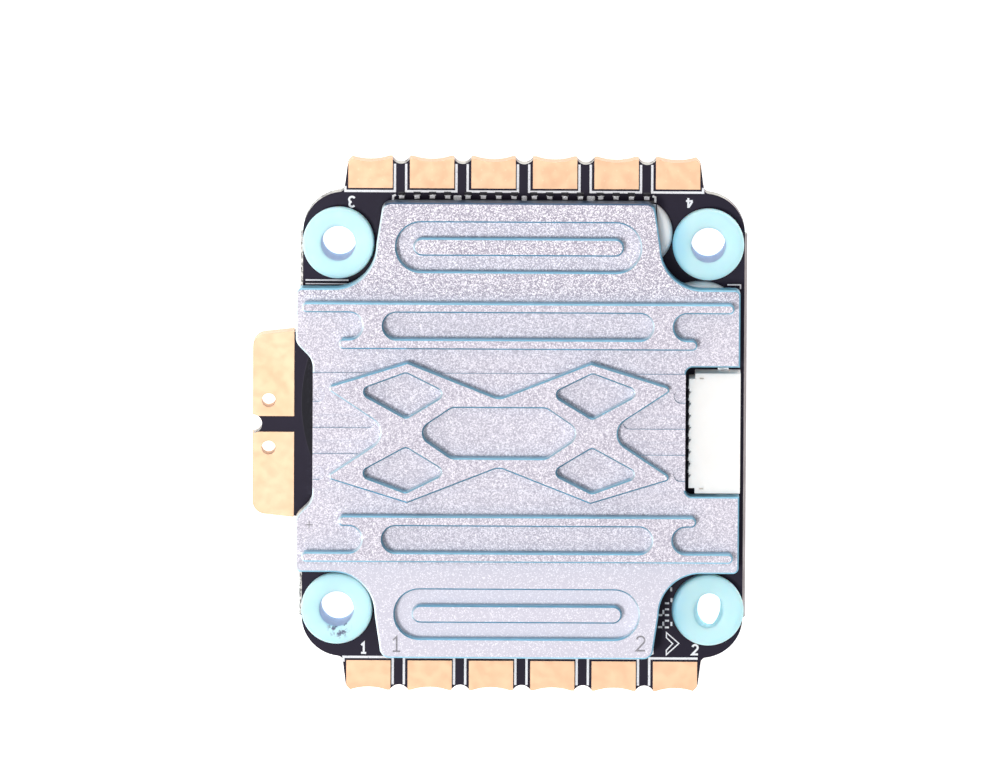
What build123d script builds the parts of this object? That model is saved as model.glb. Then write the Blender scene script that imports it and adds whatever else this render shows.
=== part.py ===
from build123d import *
import os

# Four-in-one motor speed controller board for a small multirotor.
# Frame: origin at the centre of the 30.5 mm screw pattern, on the plane of the grommets' lower
# faces. +Z points up through the heat sink, +X towards the signal connector, and the battery
# tab stands out at -X. Motors 3 and 4 are at +Y, motors 1 and 2 at -Y. Millimetres.

# --- Driving dimensions -----------------------------------------------------------------------
hole_pitch = 30.5  # screw pattern, the same both ways
board_thickness = 2.0
flange_height = 1.5  # of a grommet, above and below the board
copper = 0.1  # plated pads, wrapped round the board's edge

# Levels along Z
board_bottom = flange_height
board_top = board_bottom + board_thickness
grommet_height = board_thickness + 2 * flange_height
chip_height = 1.0  # power transistors
sink_bottom = board_top + 1.5  # the thermal pads fill the gap above the transistors

# Board outline
side_x = 18.28  # straight sides at the two faces
score_x = 18.5  # web left between the two V-scores
score_depth = 0.6
corner_x, corner_y, corner_r = 14.9, 16.0, 3.4
shoulder_y = corner_y + corner_r
neck_x = 14.9
neck_r = 0.45
tip_y = 22.2  # tips between the scallops, over the plating

# Motor pads: six along each of the +Y and -Y edges
pad_pitch = 5.09
pad_width = 3.67
pad_inner_y = 19.73
pad_chamfer = 0.35
end_margin = 0.05  # bare board beyond the end pads
scallop_r = 4.8
scallop_depth = 0.26
gap_scallop_r = 0.84
gap_scallop_depth = 0.45

# Battery tab and its two pads
tab_x = -22.4
tab_root_y = 7.85
tab_end_y = 7.4
tab_corner_r = 1.1
battery_pad_x = -18.97
battery_gap = 1.32
tab_notch_r = 0.78
lead_hole_x = -21.08
lead_hole_y = 1.98
lead_hole_r = 0.575
barrel = 0.05  # plating in the lead holes

# Grommets
grommet_r = 2.97
grommet_seat_r = 2.1
bore_r = 1.45
flange_round = 0.35
mouth_round = 0.1

# Heat sink, in a frame of its own that sits a little to the left of the screw pattern
sink_x, sink_y = -0.45, -0.08
sink_half_w, sink_half_h = 18.36, 18.98
sink_shoulder_y = 11.82
sink_top_half_w = 11.2
sink_relief_r = 3.5  # round the grommets
sink_end_round = 0.8  # at the corners of the two end flanges
sink_side_round = 0.5
sink_floor = 0.8  # left under the ring grooves
ring_depth = 1.2
rib_height = 1.4
fin_height = 0.3
bright_edge = 0.12  # chamfer on the upper edges
fin_edge = 0.06
land_z = sink_bottom + sink_floor + ring_depth  # the base's upper face
fin_z = land_z + fin_height
rib_z = land_z + rib_height

# Ring grooves in the two end flanges
ring_y = 15.3
ring_w, ring_h = 20.2, 4.1
island_w, island_h = 17.4, 1.45

# Notches in the heat sink's left and right edges
left_notch_x, left_notch_half = -16.95, 5.85
left_notch_run = 2.0  # its ends slope at 45 degrees
left_notch_round, left_mouth_round = 1.5, 1.2
right_notch_x, right_notch_half = 13.87, 5.4
right_notch_round, right_mouth_round = 0.6, 0.4

# Raised bands, each a thick bar with two thin arms on either side of a rounded bay
band_outer_y, band_inner_y = 10.79, 6.95
outer_arm_w, outer_arm_h = 35.7, 0.8
inner_arm_w, inner_arm_h = 29.6, 0.84
bay_x = 13.97
band_pocket_w = 22.3

# Raised star in the middle
star_x = -1.54
star_peak = (7.58, 5.86)
star_arm = (14.43, 3.75)
star_valley_y, star_valley_x = 2.87, 8.77
diamond_x, diamond_y = 7.7, 3.1
diamond_out, diamond_in, diamond_half = 4.07, 3.39, 1.87
diamond_out_rise, diamond_in_rise = 0.36, 0.18  # the side corners stand above the centre
valley_round, tip_round, hexagon_round, diamond_round = 1.3, 0.3, 0.9, 0.45
hexagon_half_w, hexagon_flat, hexagon_half_h = 6.96, 3.9, 2.09

# Shallow slots that leave low fins on both sides of the star
fin_zone_h = 9.66
slot_pitch, slot_w, slot_row_y = 2.17, 1.17, -0.25
slot_starts = (14.43, 10.22)  # outer and inner pairs, from the star's centre

# Thermal pads and adhesive
thermal_half_w, thermal_end_y, thermal_start_y = 10.9, 18.6, 6.3
bead_r, bead_x, bead_y = 2.87, 9.43, 16.08
bead_start_x = 10.98
small_bead_x, small_bead_y = 14.6, 10.95
small_bead_w, small_bead_d = 4.6, 2.4

# Signal connector: eight ways, 1.0 mm pitch, side entry
plug_pitch, plug_ways = 1.0, 8
plug_w, plug_d, plug_h = 10.0, 4.25, 2.95
plug_back_x, plug_y = 13.72, -0.25
plug_mouth_w, plug_mouth_h, plug_mouth_d = 8.6, 1.9, 3.2
plug_corner_x, plug_corner_y = 0.5, 0.45  # cut from the two back corners
key_slot_x, key_slot_inset = 14.77, 0.4  # a small blind slot at each end
key_slot_w, key_slot_d, key_slot_depth = 0.34, 0.14, 0.5
contact_w, contact_t = 0.3, 0.2
contact_slot_w, contact_slot_d = 0.46, 0.35
contact_notch_w, contact_notch_d = 0.6, 0.3  # vee above each contact
contact_tail_x, contact_tip_x = 13.5, 17.2
contact_z = board_top + 1.5
contact_leg_x = plug_back_x + 0.05
anchor_back_x, anchor_length, anchor_foot, anchor_height = 16.1, 0.9, 0.32, 0.8

# Power transistors: three to a motor on each face of the board
fet_w, fet_d = 5.0, 5.8
fet_pitch = 5.49
fet_outer_y, fet_inner_y = 15.9, 9.15
lead_pitch, lead_w, lead_l, lead_h = 1.27, 0.42, 0.34, 0.25

# Gate drivers above and controllers below, one of each to a motor
driver_x, driver_size, driver_height = fet_pitch / 2, 4.0, 0.85
controller_size, controller_height = 5.0, 0.8

# Power input and regulators: place, then width, depth and height of each package
shunt_xs, shunt_y, shunt_size = (-15.8, -12.4), 3.9, (3.2, 6.3, 0.6)
diode_place, diode_size = (-15.4, -3.6), (1.8, 2.8, 0.98)
amplifier_place, small_outline_size = (-9.0, 3.4), (1.6, 2.9, 1.1)
regulator_y, buck_x, inductor_x, linear_x = 3.2, 4.4, 7.2, 10.4
inductor_size, linear_size = (3.0, 3.0, 1.2), (1.3, 2.9, 1.1)
package_edge = 0.08  # cut round the outer face of a package

# Ceramic chips
bulk_size, bulk_pitch = (1.6, 3.2, 1.25), 2.2
bulk_count, bulk_row_x, bulk_row_y = 12, -1.0, 2.9  # each of the two rows underneath
bulk_top_y = 3.4
bulk_top_runs = ((-12.4, 9, -1), (-6.6, 5, 1))  # first x, count, side
chip_w, chip_d, chip_pitch = 0.5, 1.0, 0.9
capacitor_h, resistor_h = 0.5, 0.35
resistor_rows = {"top": (1.4, 4, 6.2), "bottom": (0.8, 5, 5.5)}  # first x, count, y
capacitor_row = (6.4, 6, 5.3)
column_y, column_pitch, column_count = 7.9, 1.3, 3


def save(piece, name):
    """Labels a finished sub-part and writes it as one node."""
    piece.label = name
    export_step(piece, f"parts/{name}.step")


os.makedirs("parts", exist_ok=True)


# --- Circuit board ----------------------------------------------------------------------------
pad_xs = [pad_pitch * (i - 2.5) for i in range(6)]
gap_xs = [pad_pitch * (i - 2) for i in range(5)]
scallop_y = tip_y - scallop_depth + scallop_r
gap_scallop_y = tip_y - gap_scallop_depth + gap_scallop_r


def tab_outline(inset):
    """The battery tab seen from above, with its plated edges moved in by inset."""
    root, end = tab_root_y - inset, tab_end_y - inset
    edge = tab_x + inset
    with BuildSketch() as tab:
        with BuildLine():
            Polyline((-side_x, root), (edge, end), (edge, -end), (-side_x, -root), close=True)
        make_face()
        fillet(tab.vertices().group_by(Axis.X)[0], tab_corner_r)
        with Locations((tab_x, 0)):
            Circle(tab_notch_r, mode=Mode.SUBTRACT)
    return tab.sketch


with BuildSketch() as board_outline:
    Rectangle(2 * side_x, 2 * corner_y)
    Rectangle(2 * corner_x, 2 * shoulder_y)
    with GridLocations(2 * corner_x, 2 * corner_y, 2, 2):
        Circle(corner_r)
    row_half = pad_xs[-1] + pad_width / 2 + end_margin
    corner_cut = pad_chamfer + end_margin
    for side in (1, -1):
        with BuildLine():
            Polyline(
                (-neck_x, side * shoulder_y),
                (-row_half, side * (tip_y - copper - corner_cut)),
                (corner_cut - row_half, side * (tip_y - copper)),
                (row_half - corner_cut, side * (tip_y - copper)),
                (row_half, side * (tip_y - copper - corner_cut)),
                (neck_x, side * shoulder_y),
                close=True,
            )
        make_face()
        with Locations(*[(x, side * scallop_y) for x in pad_xs]):
            Circle(scallop_r + copper, mode=Mode.SUBTRACT)
        with Locations(*[(x, side * gap_scallop_y) for x in gap_xs]):
            Circle(gap_scallop_r, mode=Mode.SUBTRACT)
    necks = board_outline.vertices().filter_by(
        lambda v: abs(abs(v.X) - neck_x) < 0.05 and abs(abs(v.Y) - shoulder_y) < 0.05
    )
    fillet(necks, neck_r)

with BuildPart() as circuit_board:
    with BuildSketch(Plane.XY.offset(board_bottom)):
        add(board_outline.sketch)
        add(tab_outline(copper))
    extrude(amount=board_thickness)
    with BuildSketch(Plane.XZ.offset(-corner_y)):
        web_low, web_high = board_bottom + score_depth, board_top - score_depth
        with BuildLine() as score:
            Polyline(
                (side_x - copper, board_bottom),
                (side_x, board_bottom),
                (score_x, web_low),
                (score_x, web_high),
                (side_x, board_top),
                (side_x - copper, board_top),
                close=True,
            )
        make_face()
        mirror(about=Plane.YZ)
    extrude(amount=2 * corner_y)
    with Locations((0, 0, board_top)):
        with GridLocations(hole_pitch, hole_pitch, 2, 2):
            Hole(grommet_seat_r)
        with Locations((lead_hole_x, lead_hole_y), (lead_hole_x, -lead_hole_y)):
            Hole(lead_hole_r + barrel)
save(circuit_board.part, "circuit_board")


# --- Motor pads -------------------------------------------------------------------------------
def motor_pad(x, side, end):
    """A plated pad wrapped over a scalloped edge. end is -1, 0 or 1: which corner is cut."""
    depth = tip_y - pad_inner_y

    def face(inset, spread):
        with BuildSketch() as outline:
            with Locations((x, side * (pad_inner_y + (depth - inset) / 2 - spread / 2))):
                Rectangle(pad_width + 2 * spread * (end == 0), depth - inset + spread)
            if end:
                corners = outline.vertices().group_by(Axis.Y)[-1 if side > 0 else 0]
                chamfer(corners.sort_by(Axis.X)[-1 if end > 0 else 0], pad_chamfer)
            with Locations((x, side * scallop_y)):
                Circle(scallop_r + inset, mode=Mode.SUBTRACT)
        return outline.sketch

    with BuildPart() as pad:
        with BuildSketch(Plane.XY.offset(board_bottom - copper)):
            add(face(0, 0))
        extrude(amount=board_thickness + 2 * copper)
        with BuildSketch(Plane.XY.offset(board_bottom)):
            add(face(copper, 1.0))
        extrude(amount=board_thickness, mode=Mode.SUBTRACT)
    return pad.part


pad_letters = "abc"
for side, motors in ((-1, (1, 2)), (1, (3, 4))):
    for i, x in enumerate(pad_xs):
        motor, letter = motors[i // 3], pad_letters[i % 3]
        end = {0: -1, 5: 1}.get(i, 0)
        save(motor_pad(x, side, end), f"motor_{motor}_pad_{letter}")


# --- Battery pads -----------------------------------------------------------------------------
def battery_pad(side):
    """A plated pad over the tab's faces and edge, with the barrel of its lead hole."""
    wide = tab_root_y * 2
    with BuildPart() as pad:
        with BuildSketch(Plane.XY.offset(board_bottom - copper)):
            add(tab_outline(0))
            with Locations((tab_x, side * (battery_gap / 2 + wide / 2))):
                Rectangle(2 * (battery_pad_x - tab_x), wide, mode=Mode.INTERSECT)
        extrude(amount=board_thickness + 2 * copper)
        with BuildSketch(Plane.XY.offset(board_bottom)):
            add(tab_outline(copper))
            with Locations((lead_hole_x, side * lead_hole_y)):
                Circle(lead_hole_r + barrel, mode=Mode.SUBTRACT)
        extrude(amount=board_thickness, mode=Mode.SUBTRACT)
        with Locations((lead_hole_x, side * lead_hole_y, board_top)):
            Hole(lead_hole_r)
    return pad.part


save(battery_pad(1), "battery_pad_negative")
save(battery_pad(-1), "battery_pad_positive")


# --- Grommets ---------------------------------------------------------------------------------
def grommet(x, y):
    """A soft sleeve with a flange on each side of the board."""
    with BuildPart() as sleeve:
        with BuildSketch(Plane((x, y, 0), x_dir=(1, 0, 0), z_dir=(0, -1, 0))) as section:
            with BuildLine():
                Polyline(
                    (bore_r, 0),
                    (grommet_r, 0),
                    (grommet_r, board_bottom),
                    (grommet_seat_r, board_bottom),
                    (grommet_seat_r, board_top),
                    (grommet_r, board_top),
                    (grommet_r, grommet_height),
                    (bore_r, grommet_height),
                    close=True,
                )
            make_face()
            rim = section.vertices().group_by(Axis.X)[-1].sort_by(Axis.Y)
            fillet([rim[0], rim[-1]], flange_round)
            fillet(section.vertices().group_by(Axis.X)[0], mouth_round)
        revolve(axis=Axis((x, y, 0), (0, 0, 1)))
    return sleeve.part


hole_xy = hole_pitch / 2
motor_sides = {1: (-1, -1), 2: (1, -1), 3: (-1, 1), 4: (1, 1)}  # quadrant of each motor
for motor, (left, low) in motor_sides.items():
    save(grommet(left * hole_xy, low * hole_xy), f"grommet_{motor}")


# --- Heat sink --------------------------------------------------------------------------------
def sink_plane(level):
    """The heat sink's own frame at a height above the origin."""
    return Plane((sink_x, sink_y, level))


relief_y = sink_shoulder_y + sink_relief_r
waist_x = hole_xy - sink_relief_r
with BuildSketch() as sink_outline:
    Rectangle(2 * sink_half_w, 2 * sink_shoulder_y)
    Rectangle(2 * hole_xy, 2 * relief_y)
    with BuildLine():
        Polyline(
            (-waist_x, relief_y),
            (-sink_top_half_w, sink_half_h),
            (sink_top_half_w, sink_half_h),
            (waist_x, relief_y),
            (waist_x, -relief_y),
            (sink_top_half_w, -sink_half_h),
            (-sink_top_half_w, -sink_half_h),
            (-waist_x, -relief_y),
            close=True,
        )
    make_face()
    with GridLocations(2 * hole_xy, 2 * relief_y, 2, 2):
        Circle(sink_relief_r, mode=Mode.SUBTRACT)
    by_height = sink_outline.vertices().group_by(Axis.Y)
    fillet(by_height[0] + by_height[-1], sink_end_round)
    by_side = sink_outline.vertices().group_by(Axis.X)
    fillet(by_side[0] + by_side[-1], sink_side_round)
    with BuildLine():
        mouth_x, mouth_half = left_notch_x - left_notch_run, left_notch_half + left_notch_run
        Polyline(
            (left_notch_x, left_notch_half),
            (mouth_x, mouth_half),
            (mouth_x, -mouth_half),
            (left_notch_x, -left_notch_half),
            close=True,
        )
    make_face(mode=Mode.SUBTRACT)
    with Locations((right_notch_x + sink_half_w / 2, 0)):
        Rectangle(sink_half_w, 2 * right_notch_half, mode=Mode.SUBTRACT)
    by_side = sink_outline.vertices().group_by(Axis.X)
    fillet(by_side[0].sort_by(Axis.Y)[1:3], left_mouth_round)
    fillet(by_side[-1].sort_by(Axis.Y)[1:3], right_mouth_round)
    on_left = sink_outline.vertices().filter_by(lambda v: abs(v.X - left_notch_x) < 0.01)
    fillet(on_left, left_notch_round)
    on_right = sink_outline.vertices().filter_by(lambda v: abs(v.X - right_notch_x) < 0.01)
    fillet(on_right, right_notch_round)

with BuildSketch() as star:
    (peak_x, peak_y), (arm_x, arm_y) = star_peak, star_arm
    with BuildLine():
        Polyline(
            (0, star_valley_y),
            (peak_x, peak_y),
            (arm_x, arm_y),
            (star_valley_x, 0),
            (arm_x, -arm_y),
            (peak_x, -peak_y),
            (0, -star_valley_y),
            (-peak_x, -peak_y),
            (-arm_x, -arm_y),
            (-star_valley_x, 0),
            (-arm_x, arm_y),
            (-peak_x, peak_y),
            close=True,
        )
    make_face()
    across = star.vertices().filter_by(lambda v: abs(v.Y) < 0.01)
    along = star.vertices().filter_by(lambda v: abs(v.X) < 0.01)
    fillet(across + along, valley_round)
    tips = star.vertices().group_by(Axis.X)
    fillet(tips[0] + tips[-1], tip_round)

with BuildSketch() as star_pockets:
    with BuildLine():
        Polyline(
            (-hexagon_half_w, 0),
            (-hexagon_flat, hexagon_half_h),
            (hexagon_flat, hexagon_half_h),
            (hexagon_half_w, 0),
            (hexagon_flat, -hexagon_half_h),
            (-hexagon_flat, -hexagon_half_h),
            close=True,
        )
    make_face()
    fillet(star_pockets.vertices(), hexagon_round)
    with BuildSketch(mode=Mode.PRIVATE) as diamond:
        with BuildLine():
            Polyline(
                (diamond_x + diamond_out, diamond_y + diamond_out_rise),
                (diamond_x, diamond_y + diamond_half),
                (diamond_x - diamond_in, diamond_y + diamond_in_rise),
                (diamond_x, diamond_y - diamond_half),
                close=True,
            )
        make_face()
        fillet(diamond.vertices(), diamond_round)
        mirror(about=Plane.YZ)
        mirror(about=Plane.XZ)
    add(diamond.sketch)

band_y = (band_outer_y + band_inner_y) / 2
bay_high = band_outer_y - outer_arm_h
bay_low = band_inner_y + inner_arm_h
bay_y, bay_r = (bay_high + bay_low) / 2, (bay_high - bay_low) / 2
slot_rows = [slot_row_y + slot_pitch * (i - 1.5) for i in range(4)]

with BuildPart() as heat_sink:
    with BuildSketch(sink_plane(sink_bottom)):
        add(sink_outline.sketch)
    extrude(amount=land_z - sink_bottom)
    with BuildSketch(sink_plane(land_z)):
        with Locations((0, ring_y), (0, -ring_y)):
            SlotOverall(ring_w, ring_h)
            SlotOverall(island_w, island_h, mode=Mode.SUBTRACT)
    extrude(amount=-ring_depth, mode=Mode.SUBTRACT)
    chamfer(heat_sink.faces().group_by(Axis.Z)[-1].edges(), bright_edge)

    # Low fins on both sides of the star
    with BuildSketch(sink_plane(land_z - 2 * bright_edge)):
        add(sink_outline.sketch)
        Rectangle(4 * sink_half_w, fin_zone_h, mode=Mode.INTERSECT)
    extrude(amount=fin_height + 2 * bright_edge)
    with BuildSketch(sink_plane(fin_z)):
        for side in (1, -1):
            for row, y in enumerate(slot_rows):
                start = slot_starts[row in (1, 2)]
                with Locations((star_x + side * (start + sink_half_w / 2), y)):
                    SlotOverall(sink_half_w, slot_w)
    extrude(amount=-fin_height, mode=Mode.SUBTRACT)

    # Raised bands and star
    with BuildSketch(sink_plane(land_z)):
        with Locations((0, band_y), (0, -band_y)):
            Rectangle(2 * bay_x, band_outer_y - band_inner_y)
        with GridLocations(2 * bay_x, 2 * bay_y, 2, 2):
            Circle(bay_r, mode=Mode.SUBTRACT)
        arm_y = band_outer_y - outer_arm_h / 2
        with Locations((0, arm_y), (0, -arm_y)):
            SlotOverall(outer_arm_w, outer_arm_h)
        arm_y = band_inner_y + inner_arm_h / 2
        with Locations((0, arm_y), (0, -arm_y)):
            SlotOverall(inner_arm_w, inner_arm_h)
        with Locations((star_x, 0)):
            add(star.sketch)
    extrude(amount=rib_height)
    with BuildSketch(sink_plane(rib_z)):
        with Locations((0, bay_y), (0, -bay_y)):
            SlotOverall(band_pocket_w, 2 * bay_r)
        with Locations((star_x, 0)):
            add(star_pockets.sketch)
    extrude(amount=-rib_height, mode=Mode.SUBTRACT)
    chamfer(heat_sink.faces().group_by(Axis.Z)[-1].edges(), bright_edge)
save(heat_sink.part, "heat_sink")


# --- Thermal pads and adhesive ----------------------------------------------------------------
for side, name in ((1, "thermal_pad_upper"), (-1, "thermal_pad_lower")):
    with BuildPart() as thermal_pad:
        with BuildSketch(Plane.XY.offset(board_top + chip_height)):
            with Locations((0, side * (thermal_end_y + thermal_start_y) / 2)):
                Rectangle(2 * thermal_half_w, thermal_end_y - thermal_start_y)
        extrude(amount=sink_bottom - board_top - chip_height)
    save(thermal_pad.part, name)

with BuildPart() as thermal_adhesive_beads:
    with BuildSketch(Plane.XY.offset(board_top)):
        with Locations((bead_x, bead_y)):
            Circle(bead_r)
        with Locations((bead_start_x - bead_r, bead_y)):
            Rectangle(2 * bead_r, 2 * bead_r, mode=Mode.SUBTRACT)
        with Locations((small_bead_x, small_bead_y)):
            Ellipse(small_bead_w / 2, small_bead_d / 2)
    extrude(amount=sink_bottom - board_top)
save(thermal_adhesive_beads.part, "thermal_adhesive_beads")


# --- Signal connector -------------------------------------------------------------------------
contact_ys = [plug_y + plug_pitch * (i - (plug_ways - 1) / 2) for i in range(plug_ways)]
plug_top = board_top + plug_h
slot_top = contact_z + contact_t / 2
with BuildPart() as connector_housing:
    with BuildSketch(Plane.XY.offset(board_top)):
        with Locations((plug_back_x + plug_d / 2, plug_y)):
            Rectangle(plug_d, plug_w)
        with Locations((plug_back_x, plug_y)):
            with GridLocations(0, plug_w, 1, 2):
                Rectangle(2 * plug_corner_x, 2 * plug_corner_y, mode=Mode.SUBTRACT)
    extrude(amount=plug_h)
    with BuildSketch(Plane.YZ.offset(plug_back_x + plug_d)):
        with Locations((plug_y, board_top + plug_h / 2)):
            Rectangle(plug_mouth_w, plug_mouth_h)
    extrude(amount=-plug_mouth_d, mode=Mode.SUBTRACT)
    with BuildSketch(Plane.XY.offset(board_top)):
        with Locations(*[(plug_back_x, y) for y in contact_ys]):
            Rectangle(2 * contact_slot_d, contact_slot_w)
    extrude(amount=slot_top - board_top, mode=Mode.SUBTRACT)
    with BuildSketch(Plane.XY.offset(plug_top)):
        for y in contact_ys:
            with BuildLine():
                Polyline(
                    (plug_back_x, y - contact_notch_w / 2),
                    (plug_back_x + contact_notch_d, y),
                    (plug_back_x, y + contact_notch_w / 2),
                    close=True,
                )
            make_face()
    extrude(amount=slot_top - plug_top, mode=Mode.SUBTRACT)
    with BuildSketch(Plane.XY.offset(plug_top)):
        with Locations((key_slot_x, plug_y)):
            with GridLocations(0, plug_w - 2 * key_slot_inset, 1, 2):
                Rectangle(key_slot_w, key_slot_d)
    extrude(amount=-key_slot_depth, mode=Mode.SUBTRACT)
    with BuildSketch(Plane.YZ.offset(plug_back_x)):
        with Locations(*[(y, contact_z) for y in contact_ys]):
            Rectangle(contact_w, contact_t)
    extrude(amount=plug_d - plug_mouth_d, mode=Mode.SUBTRACT)
save(connector_housing.part, "connector_housing")

with BuildPart() as connector_contacts:
    for y in contact_ys:
        with BuildSketch(Plane.XZ.offset(-y - contact_w / 2)):
            with BuildLine():
                Polyline(
                    (contact_tail_x, board_top),
                    (contact_leg_x + contact_t, board_top),
                    (contact_leg_x + contact_t, contact_z - contact_t / 2),
                    (contact_tip_x, contact_z - contact_t / 2),
                    (contact_tip_x, contact_z + contact_t / 2),
                    (contact_leg_x, contact_z + contact_t / 2),
                    (contact_leg_x, board_top + contact_t),
                    (contact_tail_x, board_top + contact_t),
                    close=True,
                )
            make_face()
        extrude(amount=contact_w)
save(connector_contacts.part, "connector_contacts")

with BuildPart() as connector_anchor_tabs:
    for side in (1, -1):
        with BuildSketch(Plane.YZ.offset(anchor_back_x)):
            with BuildLine():
                end = plug_w / 2
                Polyline(
                    (plug_y + side * end, board_top),
                    (plug_y + side * (end + anchor_foot), board_top),
                    (plug_y + side * (end + anchor_foot), board_top + contact_t),
                    (plug_y + side * (end + contact_t), board_top + contact_t),
                    (plug_y + side * (end + contact_t), board_top + anchor_height),
                    (plug_y + side * end, board_top + anchor_height),
                    close=True,
                )
            make_face()
        extrude(amount=anchor_length)
save(connector_anchor_tabs.part, "connector_anchor_tabs")


# --- Packages soldered to the board -----------------------------------------------------------
def packages(places, size, face="top", edge=0.0):
    """Flat packages on one face of the board, one solid at each place, with cut outer edges."""
    width, depth, height = size
    level, up = (board_top, 1) if face == "top" else (board_bottom, -1)
    with BuildPart() as group:
        with BuildSketch(Plane.XY.offset(level)):
            with Locations(*places):
                Rectangle(width, depth)
        extrude(amount=up * height)
        if edge:
            outer = group.faces().filter_by(Axis.Z).group_by(Axis.Z)[-1 if up > 0 else 0]
            chamfer(outer.edges(), edge)
    return group.part


def both_sides(places):
    """The same places mirrored to both halves of the board."""
    return [(x, side * y) for side in (1, -1) for x, y in places]


fet_places = [
    (fet_pitch / 2, fet_outer_y),
    (1.5 * fet_pitch, fet_outer_y),
    (1.5 * fet_pitch, fet_inner_y),
]
lead_offsets = [lead_pitch * (i - 1.5) for i in range(4)]
for face in ("top", "bottom"):
    lead_places = []
    for motor, (left, low) in motor_sides.items():
        places = [(left * x, low * y) for x, y in fet_places]
        fets = packages(places, (fet_w, fet_d, chip_height), face, package_edge)
        save(fets, f"motor_{motor}_transistors_{face}")
        for x, y in places:
            for end in (1, -1):
                lead_y = y + end * (fet_d + lead_l) / 2
                lead_places += [(x + offset, lead_y) for offset in lead_offsets]
    save(packages(lead_places, (lead_w, lead_l, lead_h), face), f"transistor_leads_{face}")

for motor, (left, low) in motor_sides.items():
    place = [(left * driver_x, low * fet_inner_y)]
    size = (driver_size, driver_size, driver_height)
    save(packages(place, size, "top", package_edge), f"motor_{motor}_gate_driver")
    size = (controller_size, controller_size, controller_height)
    save(packages(place, size, "bottom", package_edge), f"motor_{motor}_controller")

single_packages = {
    "current_shunts": ([(x, shunt_y) for x in shunt_xs], shunt_size),
    "current_sense_amplifier": ([amplifier_place], small_outline_size),
    "surge_diode": ([diode_place], diode_size),
    "buck_regulator": ([(buck_x, regulator_y)], small_outline_size),
    "buck_inductor": ([(inductor_x, regulator_y)], inductor_size),
    "linear_regulator": ([(linear_x, regulator_y)], linear_size),
}
for name, (places, size) in single_packages.items():
    save(packages(places, size, "top", package_edge), name)

bulk_top = [
    (first_x + bulk_pitch * i, side * bulk_top_y)
    for first_x, count, side in bulk_top_runs
    for i in range(count)
]
save(packages(bulk_top, bulk_size, "top"), "bulk_capacitors_top")
bulk_xs = [bulk_pitch * (i - (bulk_count - 1) / 2) + bulk_row_x for i in range(bulk_count)]
bulk_bottom = both_sides([(x, bulk_row_y) for x in bulk_xs])
save(packages(bulk_bottom, bulk_size, "bottom"), "bulk_capacitors_bottom")


def small_row(first_x, count, y):
    """Small chips side by side, in two runs that start first_x either side of the middle."""
    xs = [first_x + chip_pitch * i for i in range(count)]
    return both_sides([(end * x, y) for end in (1, -1) for x in xs])


resistor_size, capacitor_size = (chip_w, chip_d, resistor_h), (chip_w, chip_d, capacitor_h)
for face, row in resistor_rows.items():
    save(packages(small_row(*row), resistor_size, face), f"small_resistors_{face}")
column = both_sides([(0, column_y + column_pitch * i) for i in range(column_count)])
save(packages(column, capacitor_size, "top"), "small_capacitors_top")
save(packages(small_row(*capacitor_row), capacitor_size, "bottom"), "small_capacitors_bottom")
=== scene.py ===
"""Looks of the motor speed controller board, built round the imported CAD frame."""

import math
from itertools import product

import bmesh
import bpy
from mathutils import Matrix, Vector, noise


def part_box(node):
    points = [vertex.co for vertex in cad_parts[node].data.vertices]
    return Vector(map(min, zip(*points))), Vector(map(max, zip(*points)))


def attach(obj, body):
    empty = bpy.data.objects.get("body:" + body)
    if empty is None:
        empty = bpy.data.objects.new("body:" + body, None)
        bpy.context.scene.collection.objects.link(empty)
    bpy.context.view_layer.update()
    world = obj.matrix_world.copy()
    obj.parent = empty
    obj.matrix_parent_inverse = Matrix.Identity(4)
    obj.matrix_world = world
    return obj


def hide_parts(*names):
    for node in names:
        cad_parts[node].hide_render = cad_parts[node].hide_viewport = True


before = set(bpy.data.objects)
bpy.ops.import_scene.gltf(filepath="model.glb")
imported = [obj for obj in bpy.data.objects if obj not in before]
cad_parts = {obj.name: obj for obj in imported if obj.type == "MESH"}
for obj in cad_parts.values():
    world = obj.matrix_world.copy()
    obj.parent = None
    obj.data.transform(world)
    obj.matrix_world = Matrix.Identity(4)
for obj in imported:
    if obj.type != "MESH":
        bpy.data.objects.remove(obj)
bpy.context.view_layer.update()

MM = 0.001


def box_mm(node):
    """A CAD node's lowest and highest corners in millimetres."""
    low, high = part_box(node)
    return low / MM, high / MM


# --- Levels and places, read from the frame ---------------------------------------------------
board_low, board_high = box_mm("circuit_board")
board_bottom, board_top = board_low.z, board_high.z
board_middle = (board_bottom + board_top) / 2
sink_high = box_mm("heat_sink")[1]
hole_xy = 30.5 / 2  # half the square screw pattern
motor_sides = {1: (-1, -1), 2: (1, -1), 3: (-1, 1), 4: (1, 1)}
sink_land = board_top + 3.5  # the heat sink's broad upper face, below its fins
flange_y = 11.0  # where the finned middle gives way to the plain flanges along +Y and -Y
RANGE_SOCKETS = ("From Min", "From Max", "To Min", "To Max")


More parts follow.
